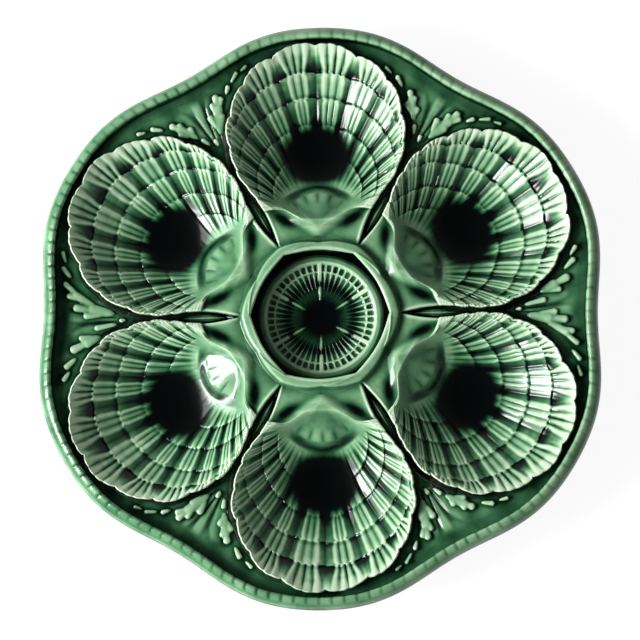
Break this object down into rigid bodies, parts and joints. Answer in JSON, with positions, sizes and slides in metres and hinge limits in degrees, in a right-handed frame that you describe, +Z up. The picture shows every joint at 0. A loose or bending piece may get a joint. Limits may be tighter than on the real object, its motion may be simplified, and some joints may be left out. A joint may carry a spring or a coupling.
{
  "type": "oyster plate",
  "caption": "Lobed round plate with scallop-shell wells set round a recessed centre cup, a beaded rim and a foot ring; holds oysters on the half shell and a sauce.",
  "frame": {"origin": "centre of the plane that the foot ring rests on", "axes": "+Z up out of the wells, +Y through a lobe of the rim and close to the axis of one shell, +X between two lobes"},
  "size_m": [0.233, 0.245, 0.0294],
  "materials": {
    "mint_glaze": "glossy translucent green glaze, pale mint where thin on the ridges and near black where it pools",
    "green_glaze": "glossy translucent green glaze, olive to dark green, near black in the grooves",
    "bare_clay": "wiped foot of bare buff earthenware"
  },
  "bodies": {
    "root": {"plate_body": "green_glaze", "rim_band": "green_glaze", "centre_collar": "mint_glaze", "centre_cup": "mint_glaze", "foot_ring": "bare_clay", "shell_1": "mint_glaze", "shell_2": "mint_glaze", "shell_3": "mint_glaze", "shell_4": "mint_glaze", "shell_5": "mint_glaze", "shell_6": "mint_glaze", "stem_1": "green_glaze", "stem_2": "green_glaze", "stem_3": "green_glaze", "stem_4": "green_glaze", "stem_5": "green_glaze", "stem_6": "green_glaze", "frond_1": "green_glaze", "frond_2": "green_glaze", "frond_3": "green_glaze", "frond_4": "green_glaze", "frond_5": "green_glaze", "frond_6": "green_glaze"}
  },
  "joints": []
}
